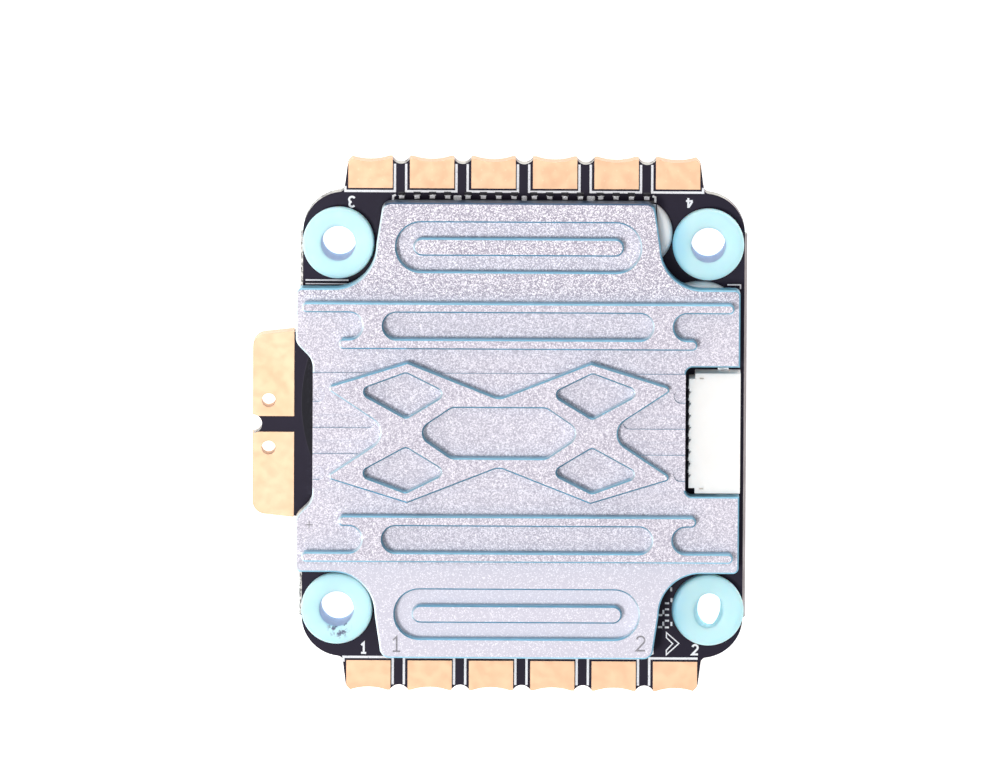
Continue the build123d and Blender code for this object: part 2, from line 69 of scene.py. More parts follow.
# --- Node materials ---------------------------------------------------------------------------
class Finish:
    """One procedural material, with short calls for the nodes that the finishes share."""

    def __init__(self, name, colour, roughness, metallic=0.0):
        self.material = bpy.data.materials.new(name)
        self.material.use_nodes = True
        tree = self.material.node_tree
        self.nodes, self.links = tree.nodes, tree.links
        self.surface = self.nodes["Principled BSDF"]
        self.set("Base Color", colour)
        self.set("Roughness", roughness)
        self.set("Metallic", metallic)
        coordinates = self.nodes.new("ShaderNodeTexCoord")
        self.place = coordinates.outputs["Object"]
        self.normal = coordinates.outputs["Normal"]

    def set(self, socket, value):
        """Gives a socket of the surface a constant or another node's output."""
        self.feed(self.surface.inputs[socket], value)

    def feed(self, socket, value):
        if isinstance(value, bpy.types.NodeSocket):
            self.links.new(value, socket)
        elif isinstance(value, (tuple, list)) and len(value) == 3 and socket.type == "RGBA":
            socket.default_value = (*value, 1.0)
        else:
            socket.default_value = value

    def noise(self, grain, detail=2.0, rough=0.5, place=None):
        """Noise whose lumps are about grain millimetres across."""
        node = self.nodes.new("ShaderNodeTexNoise")
        self.feed(node.inputs["Vector"], place or self.place)
        self.feed(node.inputs["Scale"], 1 / (grain * MM))
        self.feed(node.inputs["Detail"], detail)
        self.feed(node.inputs["Roughness"], rough)
        return node.outputs["Fac"]

    def cells(self, grain, output="Color"):
        """Voronoi cells about grain millimetres across."""
        node = self.nodes.new("ShaderNodeTexVoronoi")
        self.feed(node.inputs["Vector"], self.place)
        self.feed(node.inputs["Scale"], 1 / (grain * MM))
        return node.outputs[output]

    def split(self, vector):
        node = self.nodes.new("ShaderNodeSeparateXYZ")
        self.feed(node.inputs[0], vector)
        return node.outputs

    def stretch(self, factors):
        """The place, scaled along each axis."""
        node = self.nodes.new("ShaderNodeMapping")
        self.feed(node.inputs["Vector"], self.place)
        self.feed(node.inputs["Scale"], factors)
        return node.outputs["Vector"]

    def calc(self, operation, first, second=0.0):
        node = self.nodes.new("ShaderNodeMath")
        node.operation = operation
        self.feed(node.inputs[0], first)
        self.feed(node.inputs[1], second)
        return node.outputs[0]

    def fade(self, value, low, high, start=0.0, end=1.0):
        """Maps low..high to start..end, clamped, with soft ends."""
        node = self.nodes.new("ShaderNodeMapRange")
        node.interpolation_type = "SMOOTHSTEP"
        for socket, number in zip(RANGE_SOCKETS, (low, high, start, end)):
            self.feed(node.inputs[socket], number)
        self.feed(node.inputs["Value"], value)
        return node.outputs["Result"]

    def within(self, distance, reach, soft=0.03):
        """1 below a reach in millimetres and 0 beyond it, with soft millimetres each way."""
        return self.fade(distance, (reach + soft) * MM, (reach - soft) * MM)

    def away_from(self, x, y):
        """Distance in plan from a place in millimetres."""
        place = self.split(self.place)
        squares = [
            self.calc("POWER", self.calc("SUBTRACT", place[axis], at * MM), 2.0)
            for axis, at in enumerate((x, y))
        ]
        return self.calc("SQRT", self.calc("ADD", *squares))

    def clouded(self, grain, detail, low, high):
        """Roughness that wanders between two values."""
        self.set("Roughness", self.fade(self.noise(grain, detail), 0.3, 0.7, low, high))

    def mix(self, factor, first, second):
        node = self.nodes.new("ShaderNodeMix")
        node.data_type = "RGBA"
        self.feed(node.inputs["Factor"], factor)
        colours = [socket for socket in node.inputs if socket.type == "RGBA"]
        self.feed(colours[0], first)
        self.feed(colours[1], second)
        return [socket for socket in node.outputs if socket.type == "RGBA"][0]

    def bump(self, height, strength, depth_mm):
        """Adds relief; repeated calls stack."""
        node = self.nodes.new("ShaderNodeBump")
        node.inputs["Strength"].default_value = strength
        node.inputs["Distance"].default_value = depth_mm * MM
        self.feed(node.inputs["Height"], height)
        if self.surface.inputs["Normal"].is_linked:
            self.feed(node.inputs["Normal"], self.surface.inputs["Normal"].links[0].from_socket)
        self.set("Normal", node.outputs["Normal"])


def blasted_aluminium():
    """Bead-blasted silver on the flat faces, light blue where the cutter left walls and edges. The grain
    holds painted glints, recessed floors are painted lighter, walls facing -X carry a painted highlight,
    and walls facing +X and the outermost +Y wall carry painted shade.
    """
    finish = Finish("blasted_aluminium", (0.62, 0.61, 0.68), 0.6, 1.0)
    facing = finish.split(finish.normal)
    place = finish.split(finish.place)
    wall = finish.fade(finish.calc("ABSOLUTE", facing[2]), 0.97, 0.8)
    smooth_end = finish.within(place[1], -flange_y - 0.2, 0.2)
    grain = finish.split(finish.cells(0.075))[0]
    coarse = finish.split(finish.cells(0.16))[1]
    broad = finish.fade(finish.noise(1.6, 3.0), 0.35, 0.65)
    # Fine grain from dark to near white: real blasted grain, with painted glints in the whitest cells
    grain_with_painted_glints = finish.mix(finish.fade(grain, 0.25, 0.95), (0.30, 0.275, 0.345), (1.0, 0.965, 1.0))
    patches = finish.mix(finish.fade(coarse, 0.1, 0.9), (0.505, 0.483, 0.55), (0.71, 0.684, 0.75))
    sparkle = finish.fade(place[1], (flange_y - 0.2) * MM, (flange_y + 0.4) * MM, 0.5, 0.76)
    silver = finish.mix(sparkle, patches, grain_with_painted_glints)
    silver = finish.mix(broad, silver, finish.mix(0.12, silver, (0.5, 0.48, 0.56)))
    # The smooth lower flange: pale, with fine bright cells as painted glints
    bright = finish.mix(finish.fade(grain, 0.66, 1.0), (0.595, 0.58, 0.65), (0.80, 0.785, 0.84))
    face = finish.mix(smooth_end, silver, bright)
    # Floors below the broad face painted lighter: painted light against the shade that their walls cast
    grooves = finish.fade(place[2], (sink_land - 0.3) * MM, (sink_land - 0.6) * MM, 0.0, 0.2)
    valleys = finish.fade(place[2], (sink_land + 0.5) * MM, (sink_land + 0.2) * MM, 0.0, 0.1)
    between = finish.within(finish.calc("ABSOLUTE", place[1]), flange_y, 0.2)
    recess_painted_light = finish.calc("ADD", grooves, finish.calc("MULTIPLY", valleys, between))
    face = finish.mix(recess_painted_light, face, (0.95, 0.92, 1.0))
    blue = finish.mix(finish.noise(0.8), (0.22, 0.50, 0.66), (0.35, 0.65, 0.80))
    # The blue is the cut edges' own finish; walls facing -X get a painted highlight and walls facing +X
    # painted shade
    blue_edge_lit_and_shaded = finish.mix(finish.fade(facing[0], -0.2, -0.6), blue, (0.74, 0.86, 0.92))
    blue_edge_lit_and_shaded = finish.mix(finish.fade(facing[0], 0.2, 0.7, 0.0, 0.45), blue_edge_lit_and_shaded, (0.10, 0.24, 0.36))
    # The outermost wall along +Y painted dark slate: painted shade
    rim = finish.fade(place[1], (sink_high.y - 0.35) * MM, (sink_high.y - 0.15) * MM)
    blue_edge_lit_and_shaded = finish.mix(rim, blue_edge_lit_and_shaded, (0.07, 0.12, 0.2))
    finish.set("Base Color", finish.mix(wall, face, blue_edge_lit_and_shaded))
    finish.set("Metallic", finish.fade(wall, 0.0, 1.0, 1.0, 0.85))
    finish.set("Roughness", finish.fade(wall, 0.0, 1.0, 0.62, 0.38))
    finish.bump(finish.noise(0.08, 2.0, 0.7), 0.3, 0.015)
    return finish.material


def solder_mask():
    """Glossy black mask on the faces; sanded glass-epoxy laminate on the cut edges."""
    finish = Finish("solder_mask", (0.012, 0.011, 0.016), 0.3)
    normal = finish.split(finish.normal)
    cut = finish.fade(finish.calc("ABSOLUTE", normal[2]), 0.98, 0.9)
    left = finish.fade(normal[0], -0.2, -0.4)
    scalloped = finish.fade(finish.calc("ABSOLUTE", normal[1]), 0.7, 0.95)
    layers = finish.noise(0.35, 2.0, 0.6, finish.stretch((0.15, 0.15, 2.4)))
    fibres = finish.noise(0.22, 4.0, 0.75)
    brown = finish.mix(finish.fade(layers, 0.3, 0.7), (0.32, 0.28, 0.28), (0.52, 0.47, 0.47))
    grey = finish.mix(finish.fade(layers, 0.3, 0.7), (0.55, 0.54, 0.5), (0.78, 0.77, 0.72))
    laminate = finish.mix(scalloped, brown, grey)
    snapped = finish.fade(finish.noise(0.3, 4.0, 0.7, finish.stretch((1.0, 1.0, 0.45))), 0.36, 0.6)
    torn = finish.mix(snapped, (0.07, 0.065, 0.065), (0.72, 0.71, 0.68))
    edge = finish.mix(left, laminate, torn)
    # A round area beside the heat sink's edge, darker, with a slight step at its rim
    round_dark_area = finish.within(finish.away_from(-5.3, 1.8), 13.05)
    under = finish.within(finish.split(finish.place)[2], board_middle, 0.1)
    below = finish.calc("MULTIPLY", under, finish.fade(finish.noise(7.0, 0.0), 0.535, 0.54))
    # Darker areas: the underside's copper pours and the round area beside the heat sink
    darker_areas = finish.calc("MAXIMUM", round_dark_area, below)
    over_copper = finish.mix(finish.noise(2.5, 2.0), (0.012, 0.009, 0.019), (0.018, 0.014, 0.027))
    bare = finish.mix(darker_areas, over_copper, (0.005, 0.005, 0.006))
    dust = finish.fade(finish.cells(1.3, "Distance"), 0.035, 0.02)
    mask = finish.mix(dust, bare, (0.30, 0.29, 0.33))
    finish.set("Base Color", finish.mix(cut, mask, edge))
    finish.set("Roughness", finish.fade(cut, 0.0, 1.0, 0.3, 0.8))
    finish.set("Specular IOR Level", 0.11)
    finish.set("Specular Tint", (0.86, 0.82, 1.0))
    finish.bump(finish.calc("MULTIPLY", fibres, cut), 0.8, 0.08)
    finish.bump(finish.noise(0.5, 3.0), 0.12, 0.02)
    finish.bump(darker_areas, 0.25, 0.01)
    return finish.material


def gold(name, light, deep):
    """Immersion gold over copper, satin, with faint clouds."""
    finish = Finish(name, light, 0.5, 1.0)
    clouds = finish.noise(3.2, 1.0)
    finish.set("Base Color", finish.mix(finish.fade(clouds, 0.3, 0.7), deep, light))
    finish.clouded(0.9, 3.0, 0.5, 0.55)
    finish.bump(finish.noise(0.09, 2.0), 0.12, 0.004)
    return finish.material


def silicone(name, low, high, dark_blotch_place=None):
    """Soft light-blue silicone: milky, satin, with a faint moulded skin, a deeper blue painted shade on
    the right-hand grommets towards the heat sink, and perhaps dark blotches about one place.
    """
    finish = Finish(name, high, 0.42)
    colour = finish.mix(finish.noise(1.5, 2.0), low, high)
    place = finish.split(finish.place)
    # Painted shade: deeper blue on the side of the right-hand grommets towards the heat sink
    sink_side_shade = finish.within(finish.calc("ABSOLUTE", place[0]), hole_xy - 2.05, 0.95)
    right_half = finish.fade(place[0], 1.0 * MM, 2.0 * MM, 0.0, 0.65)
    colour = finish.mix(finish.calc("MULTIPLY", sink_side_shade, right_half), colour, (0.24, 0.66, 0.92))
    # Dark blotches on the upper part, about one place
    if dark_blotch_place:
        near = finish.within(finish.away_from(*dark_blotch_place), 0.85, 0.3)
        upper = finish.fade(place[2], board_top * MM, (board_top + 1) * MM)
        blotches = finish.calc("MULTIPLY", upper, finish.fade(finish.noise(0.5, 3.0, 0.6), 0.47, 0.6))
        colour = finish.mix(finish.calc("MULTIPLY", near, blotches), colour, (0.10, 0.12, 0.22))
    finish.set("Base Color", colour)
    finish.set("Subsurface Weight", 0.45)
    finish.set("Subsurface Radius", (0.35, 0.8, 1.0))
    finish.set("Subsurface Scale", 1.2 * MM)
    finish.clouded(0.4, 2.0, 0.38, 0.5)
    finish.bump(finish.noise(0.25, 3.0), 0.1, 0.02)
    return finish.material


def smooth_plastic(name, low, high, roughness, grain=0.1, strength=0.15, glow=0.0, painted_glow=0.0):
    """Moulded or fired stuff with slight clouds and a fine skin.

    Glow is how milky it is, and painted_glow is a faint even emission, painted light that lifts its
    shaded recesses.
    """
    finish = Finish(name, high, roughness)
    if glow:
        finish.set("Subsurface Weight", glow)
        finish.set("Subsurface Radius", (1.0, 0.9, 0.85))
        finish.set("Subsurface Scale", 0.9 * MM)
    finish.set("Emission Color", high)
    # Any emission here is painted light, not a lamp
    finish.set("Emission Strength", painted_glow)
    finish.set("Base Color", finish.mix(finish.noise(1.2, 3.0), low, high))
    finish.clouded(0.5, 2.0, roughness - 0.05, roughness + 0.07)
    finish.bump(finish.noise(grain, 3.0), strength, 0.01)
    return finish.material


def tinned(name, metallic):
    """Tin plate and solder: bright, a little wrinkled, dulled in places."""
    finish = Finish(name, (0.8, 0.8, 0.82), 0.24, metallic)
    finish.set("Base Color", finish.mix(finish.noise(0.5, 3.0), (0.62, 0.62, 0.64), (0.9, 0.9, 0.92)))
    finish.clouded(0.3, 3.0, 0.16, 0.4)
    finish.bump(finish.noise(0.18, 2.0), 0.3, 0.02)
    return finish.material


def contact_tin_painted_shade():
    """Contact tails: bright at the housing, and painted near black further out, painted shade in the gap
    beside the heat sink.
    """
    finish = Finish("contact_tin_painted_shade", (0.8, 0.8, 0.82), 0.25, 1.0)
    shade_below_x = 13.7
    # Painted shade on the tails out in the gap, towards -X
    out = finish.within(finish.split(finish.place)[0], shade_below_x, 0.04)
    bright = finish.mix(finish.noise(0.3, 3.0), (0.7, 0.7, 0.72), (0.92, 0.92, 0.94))
    finish.set("Base Color", finish.mix(out, bright, (0.02, 0.02, 0.025)))
    finish.clouded(0.3, 3.0, 0.2, 0.4)
    finish.bump(finish.noise(0.18, 2.0), 0.2, 0.02)
    return finish.material


def fluxed_tin_painted_glints():
    """Lead tips and their solder: bright rows along the tips, toes and inner ends are painted glints,
    and the rest is dark where flux has stayed.
    """
    finish = Finish("fluxed_tin_painted_glints", (0.5, 0.5, 0.5), 0.25, 0.4)
    tip_y, toe_y, inner_y = 19.12, 18.62, 17.9
    row = finish.calc("ABSOLUTE", finish.split(finish.place)[1])
    wander = finish.calc("MULTIPLY", finish.noise(0.5), 0.2 * MM)

    def off(value, middle):
        return finish.calc("ABSOLUTE", finish.calc("SUBTRACT", value, middle * MM))

    # Rows of painted glints along the lead tips, toes and inner ends
    flecks = finish.fade(finish.noise(0.13, 3.0, 0.7), 0.46, 0.52)
    tips = finish.within(off(finish.calc("ADD", row, wander), tip_y), 0.13)
    toes = finish.calc("MULTIPLY", finish.within(off(row, toe_y), 0.11), flecks)
    inner = finish.calc("MULTIPLY", finish.within(row, inner_y, 0.1), flecks)
    glint_rows = finish.calc("MAXIMUM", finish.calc("MAXIMUM", tips, toes), inner)
    finish.set("Base Color", finish.mix(glint_rows, (0.03, 0.028, 0.035), (0.9, 0.9, 0.92)))
    finish.set("Roughness", finish.fade(glint_rows, 0.0, 1.0, 0.5, 0.2))
    finish.bump(finish.noise(0.15, 2.0), 0.4, 0.03)
    return finish.material


def legend_ink():
    """White printed ink, thin enough to be a little patchy."""
    finish = Finish("legend_ink", (0.88, 0.88, 0.92), 0.55)
    patches = finish.fade(finish.noise(0.12, 3.0), 0.28, 0.42)
    finish.set("Base Color", finish.mix(patches, (0.55, 0.55, 0.6), (0.93, 0.93, 0.96)))
    finish.bump(finish.noise(0.08, 2.0), 0.2, 0.01)
    return finish.material


def etched():
    """Laser-darkened marks on the aluminium."""
    finish = Finish("etched_mark", (0.3, 0.3, 0.33), 0.6, 1.0)
    grain = finish.split(finish.cells(0.1))[0]
    finish.set("Base Color", finish.mix(grain, (0.20, 0.195, 0.215), (0.34, 0.33, 0.36)))
    finish.bump(finish.noise(0.1), 0.3, 0.01)
    return finish.material


ALUMINIUM = blasted_aluminium()
MASK = solder_mask()
BATTERY_GOLD = gold("battery_gold", (0.70, 0.49, 0.33), (0.70, 0.462, 0.3))
MOTOR_GOLD = gold("motor_gold", (0.68, 0.445, 0.29), (0.67, 0.432, 0.278))
PALE_BLUES = (0.54, 0.88, 0.98), (0.64, 0.93, 1.0)
SILICONE = silicone("silicone_blue", *PALE_BLUES)
SILICONE_BLOTCHED = silicone("silicone_blotched", *PALE_BLUES, (-15.15, -16.75))
# A darker copy of the silicone for the bores: painted shade inside the holes
SILICONE_BORE_SHADE = silicone("silicone_bore_painted_shade", (0.36, 0.54, 0.76), (0.50, 0.64, 0.84))
GAP_PAD = smooth_plastic("gap_pad", (0.30, 0.33, 0.37), (0.42, 0.45, 0.5), 0.7, 0.15, 0.3)
ADHESIVE = smooth_plastic("adhesive", (0.95, 0.95, 1.0), (1.0, 1.0, 1.0), 0.42, 0.6, 0.05, glow=0.8)
NYLON_TONES = (0.93, 0.90, 0.87), (0.98, 0.95, 0.92)
# The housing carries a faint emission: painted light that lifts its shaded notches and walls
NYLON = smooth_plastic("connector_nylon", *NYLON_TONES, 0.5, 0.12, 0.12, glow=0.6, painted_glow=0.04)
TIN = tinned("tinned_metal", 1.0)
FROSTED_TIN = tinned("frosted_tin", 0.3)
SHADED_CONTACT = contact_tin_painted_shade()
LEAD = fluxed_tin_painted_glints()
EPOXY = smooth_plastic("moulding_compound", (0.012, 0.012, 0.013), (0.03, 0.03, 0.032), 0.5, 0.07, 0.35)
CERAMIC = smooth_plastic("fired_ceramic", (0.30, 0.18, 0.09), (0.46, 0.31, 0.18), 0.42, 0.08, 0.2)
GLAZE = smooth_plastic("resistor_glaze", (0.008, 0.008, 0.009), (0.02, 0.02, 0.022), 0.18, 0.3, 0.1)
FERRITE = smooth_plastic("iron_powder", (0.10, 0.10, 0.105), (0.2, 0.2, 0.21), 0.62, 0.06, 0.4)
INK = legend_ink()
ETCH = etched()


# --- Meshes in millimetres --------------------------------------------------------------------
def arc(cx, cy, rx, ry, start, end, steps=9):
    """Points along an ellipse between two angles in degrees, both ends included."""
    angles = [math.radians(start + (end - start) * i / steps) for i in range(steps + 1)]
    return [(cx + rx * math.cos(a), cy + ry * math.sin(a)) for a in angles]


def ellipse(cx, cy, rx, ry, steps):
    """Points all round an ellipse, counter-clockwise."""
    angles = [2 * math.pi * i / steps for i in range(steps)]
    return [(cx + rx * math.cos(a), cy + ry * math.sin(a)) for a in angles]


def add_object(name, data):
    thing = bpy.data.objects.new(name, data)
    bpy.context.scene.collection.objects.link(thing)
    return thing


def add_piece(name, mesh, nodes):
    """Makes an object that rides on the board and hides the CAD nodes that it stands for."""
    piece = add_object(name, mesh)
    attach(piece, "root")
    if nodes:
        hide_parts(*nodes)
    return piece


class Build:
    """A mesh put together in millimetres and turned into one object that rides on the board."""

    def __init__(self, name, materials, slot):
        self.name, self.materials, self.slot = name, materials, slot
        self.bm = bmesh.new()

    def _take(self, faces, material, smooth):
        index = self.materials.index(material)
        for face in faces:
            face.material_index = index
            face.smooth = smooth

    def prism(self, outline, low, high, material, edge=0.0, segments=2):
        """An outline, counter-clockwise seen from above, pulled up from low to high."""
        bm = self.bm
        count = len(outline)
        lower = [bm.verts.new((x, y, low)) for x, y in outline]
        upper = [bm.verts.new((x, y, high)) for x, y in outline]
        faces = [bm.faces.new(upper), bm.faces.new(lower[::-1])]
        for i in range(count):
            j = (i + 1) % count
            faces.append(bm.faces.new((lower[i], lower[j], upper[j], upper[i])))
        self._take(faces, material, False)
        if edge:
            edges = list({e for face in faces for e in face.edges})
            made = bmesh.ops.bevel(
                bm, geom=edges, offset=edge, segments=segments, affect="EDGES", profile=0.5
            )
            self._take(made["faces"], material, False)

    def block(self, low, high, material, edge=0.0, segments=2):
        outline = [(low[0], low[1]), (high[0], low[1]), (high[0], high[1]), (low[0], high[1])]
        self.prism(outline, low[2], high[2], material, edge, segments)

    def wedge(self, low, high, axis, sign, material):
        """A concave solder fillet: full height at a terminal, falling to nothing along an axis."""
        steps = 4
        start, stop = (low[axis], high[axis]) if sign > 0 else (high[axis], low[axis])
        base, top = low[2], high[2]
        bm = self.bm
        rows = []
        for i in range(steps + 1):
            t = i / steps
            reach = start + (stop - start) * t
            level = base + (top - base) * (1 - t) ** 2
            row = []
            for side in (low[1 - axis], high[1 - axis]):
                point = [0, 0, level]
                point[axis], point[1 - axis] = reach, side
                row.append(bm.verts.new(point))
                floor = list(point)
                floor[2] = base
                row.append(bm.verts.new(floor) if t < 1 else row[-1])
            rows.append(row)
        faces = []
        for a, b in zip(rows, rows[1:]):
            faces.append(bm.faces.new((a[0], b[0], b[2], a[2])))
            for k in (0, 2):
                corner = [a[k], a[k + 1]] + ([b[k + 1], b[k]] if b[k] is not b[k + 1] else [b[k]])
                faces.append(bm.faces.new(corner))
            faces.append(bm.faces.new((a[1], a[3], b[3], b[1])))
        back = rows[0]
        faces.append(bm.faces.new((back[0], back[2], back[3], back[1])))
        self._take(faces, material, True)

    def lathe(self, profile, centre, material, steps=64):
        """A closed profile of (radius, height) pairs turned about a vertical axis."""
        bm = self.bm
        rings = [
            [bm.verts.new((x, y, height)) for x, y in ellipse(*centre, radius, radius, steps)]
            for radius, height in profile
        ]
        faces = []
        for a, b in zip(rings, rings[1:] + rings[:1]):
            for i in range(steps):
                j = (i + 1) % steps
                faces.append(bm.faces.new((a[i], a[j], b[j], b[i])))
        self._take(faces, material, True)

    def dome(self, outline, low, high, material, rings=8):
        """A smooth mound over an outline, as a blob that has set leaves."""
        bm = self.bm
        middle = [sum(p[i] for p in outline) / len(outline) for i in (0, 1)]
        levels = []
        for k in range(rings):
            angle = math.pi / 2 * k / rings
            spread, rise = math.cos(angle) ** 0.7, math.sin(angle)
            levels.append([
                bm.verts.new((
                    middle[0] + (x - middle[0]) * spread,
                    middle[1] + (y - middle[1]) * spread,
                    low + (high - low) * rise,
                ))
                for x, y in outline
            ])
        crown = bm.verts.new((*middle, high))
        count = len(outline)
        faces = [bm.faces.new(levels[0][::-1])]
        for i in range(count):
            j = (i + 1) % count
            faces += [bm.faces.new((a[i], a[j], b[j], b[i])) for a, b in zip(levels, levels[1:])]
            faces.append(bm.faces.new((levels[-1][i], levels[-1][j], crown)))
        self._take(faces, material, True)

    def ribbon(self, points, width, level, material, height=0.02, closed=False):
        """A printed line of even width along a polyline, standing height above level."""
        points = [Vector(p) for p in points]
        count = len(points)
        sides = []
        for i, point in enumerate(points):
            before = points[i - 1] if i or closed else None
            after = points[(i + 1) % count] if i < count - 1 or closed else None
            into = (point - before).normalized() if before is not None else None
            out = (after - point).normalized() if after is not None else None
            along = (into + out).normalized() if into is not None and out is not None else into or out
            across = Vector((-along.y, along.x))
            reach = width / 2
            if into is not None and out is not None:
                reach /= max(0.4, math.sqrt((1 + into.dot(out)) / 2))
            sides.append((point + across * reach, point - across * reach))
        low, high = sorted((level - math.copysign(0.01, height), level + height))
        bm = self.bm
        rows = [
            [bm.verts.new((*p, z)) for p, z in ((a, high), (b, high), (b, low), (a, low))]
            for a, b in sides
        ]
        faces = []
        spans = list(zip(rows, rows[1:] + rows[:1])) if closed else list(zip(rows, rows[1:]))
        for a, b in spans:
            for k in range(4):
                m = (k + 1) % 4
                faces.append(bm.faces.new((a[k], a[m], b[m], b[k])))
        if not closed:
            faces.append(bm.faces.new(rows[0][::-1]))
            faces.append(bm.faces.new(rows[-1]))
        self._take(faces, material, False)

    def finish(self, *nodes):
        """Makes the piece, in metres, in place of the CAD nodes that it stands for."""
        bm = self.bm
        bmesh.ops.recalc_face_normals(bm, faces=bm.faces)
        bmesh.ops.scale(bm, vec=(MM, MM, MM), verts=bm.verts)
        mesh = bpy.data.meshes.new(self.name)
        bm.to_mesh(mesh)
        bm.free()
        for material in self.materials:
            mesh.materials.append(material)
        return add_piece(self.name, mesh, nodes)


def coat(mesh, material):
    mesh.materials.clear()
    mesh.materials.append(material)


def paint(node, material):
    """Gives a CAD node its finish."""
    coat(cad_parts[node].data, material)


def softened(node, name, material, edge):
    """A copy of a CAD node's form with its sharp edges rounded."""
    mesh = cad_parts[node].data.copy()
    mesh.name = name
    coat(mesh, material)
    bm = bmesh.new()
    bm.from_mesh(mesh)
    bmesh.ops.remove_doubles(bm, verts=bm.verts, dist=0.002 * MM)
    bmesh.ops.dissolve_limit(bm, angle_limit=math.radians(3), verts=bm.verts, edges=bm.edges)
    sharp = [e for e in bm.edges if len(e.link_faces) == 2 and e.calc_face_angle() > math.radians(25)]
    bmesh.ops.bevel(bm, geom=sharp, offset=edge * MM, segments=2, affect="EDGES", clamp_overlap=True)
    bm.to_mesh(mesh)
    bm.free()
    return add_piece(name, mesh, [node])


# --- Carried-over CAD nodes -------------------------------------------------------------------
paint("heat_sink", ALUMINIUM)
paint("circuit_board", MASK)
paint("battery_pad_positive", BATTERY_GOLD)
paint("battery_pad_negative", BATTERY_GOLD)
paint("connector_contacts", SHADED_CONTACT)
paint("connector_anchor_tabs", TIN)
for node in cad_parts:
    if node.startswith("motor_") and "_pad_" in node:
        paint(node, MOTOR_GOLD)
    elif node.startswith("thermal_pad"):
        paint(node, GAP_PAD)
    elif node.startswith("transistor_leads"):
        paint(node, LEAD)


def solids_of(node):
    """The lowest and highest corners, in millimetres, of each separate solid in a CAD node."""
    bm = bmesh.new()
    bm.from_mesh(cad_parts[node].data)
    bmesh.ops.remove_doubles(bm, verts=bm.verts, dist=0.001 * MM)
    waiting, boxes = set(bm.verts), []
    while waiting:
        seed = waiting.pop()
        group, border = [seed], [seed]
        while border:
            for edge in border.pop().link_edges:
                for vertex in edge.verts:
                    if vertex in waiting:
                        waiting.discard(vertex)
                        group.append(vertex)
                        border.append(vertex)
        low = Vector(min(v.co[i] for v in group) for i in range(3)) / MM
        high = Vector(max(v.co[i] for v in group) for i in range(3)) / MM
        boxes.append((low, high))
    bm.free()
    return sorted(boxes, key=lambda pair: (round(pair[0].y, 3), round(pair[0].x, 3), pair[0].z))


def outward(low, high):
    """1 for a package on the board's upper face, -1 for one underneath."""
    return 1 if (low.z + high.z) / 2 > board_middle else -1


# --- Grommets ---------------------------------------------------------------------------------
grommet_lean = {1: -0.14, 2: 0.2, 3: -0.12, 4: 0.0}  # how far each upper flange sits off its hole
pinched_grommet, blotched_grommet = 2, 1


def grommet(motor):
    """A turned grommet that leans a little; one of them has its bore squeezed to an oval."""
    node = f"grommet_{motor}"
    low, high = box_mm(node)
    radius, height = (high.x - low.x) / 2, high.z - low.z
    lip = board_bottom  # flange thickness above and below the board
    bore, seat = 1.42, 2.1
    half = [
        (bore, height * 0.5 - 0.9),
        (bore, 0.2),
        (bore + 0.02, 0.05),
        (bore + 0.1, 0.0),
        (radius - 0.5, 0.0),
        (radius - 0.14, 0.04),
        (radius - 0.02, 0.2),
        (radius, 0.5),
        (radius, lip - 0.22),
        (radius - 0.08, lip - 0.03),
        (radius - 0.3, lip),
        (seat + 0.1, lip),
        (seat, lip + 0.08),
    ]
    profile = half + [(r, height - z) for r, z in reversed(half)] + [(bore, height / 2)]
    centre = ((low.x + high.x) / 2, (low.y + high.y) / 2)
    skin = SILICONE_BLOTCHED if motor == blotched_grommet else SILICONE
    build = Build(f"grommet_{motor}_silicone", [skin, SILICONE_BORE_SHADE], "silicone_blue")
    build.lathe(profile, centre, skin)
    pinched = motor == pinched_grommet
    # Bore faces take the darker bore copy, painted shade; the pinched grommet keeps one silicone
    if not pinched:
        for face in build.bm.faces:
            if max(math.hypot(v.co.x - centre[0], v.co.y - centre[1]) for v in face.verts) < bore + 0.03:
                face.material_index = 1
    # The squeeze's share of the width, the oval's turn, and how far its lower end is pushed out
    squeeze, turn, tip = (0.37, math.radians(10), 0.35) if pinched else (0.02, 0.0, 0.0)
    felt_to = 0.9  # distance from the bore at which the squeeze dies out
    for vertex in build.bm.verts:
        dx, dy = vertex.co.x - centre[0], vertex.co.y - centre[1]
        r = math.hypot(dx, dy)
        near_bore = min(1.0, max(0.0, 1 - (r - bore) / felt_to))
        top = vertex.co.z / height
        across = dx * math.cos(turn) - dy * math.sin(turn)
        pinch = across * squeeze * near_bore * (0.45 + 0.55 * (1 - abs(2 * top - 1)))
        vertex.co.x -= pinch * math.cos(turn)
        vertex.co.y += pinch * math.sin(turn)
        vertex.co.y -= tip * near_bore * max(0.0, 1 - top) * max(0.0, -dy / bore)
        vertex.co.x += 1.4 * tip * near_bore * max(0.0, 1 - top)
        if r < radius - 0.1 and top > 0.5:
            vertex.co.z += noise.noise(Vector((dx * 0.35, dy * 0.35, motor * 7.0 + top))) * 0.03
        vertex.co.z = min(vertex.co.z, height)
        rise = max(0.0, (vertex.co.z - board_middle) / (height - board_middle))
        vertex.co.x += grommet_lean[motor] * rise
    piece = build.finish(node)
    smooth = piece.modifiers.new("smooth", "SUBSURF")
    smooth.levels = smooth.render_levels = 1


for motor in motor_sides:
    grommet(motor)


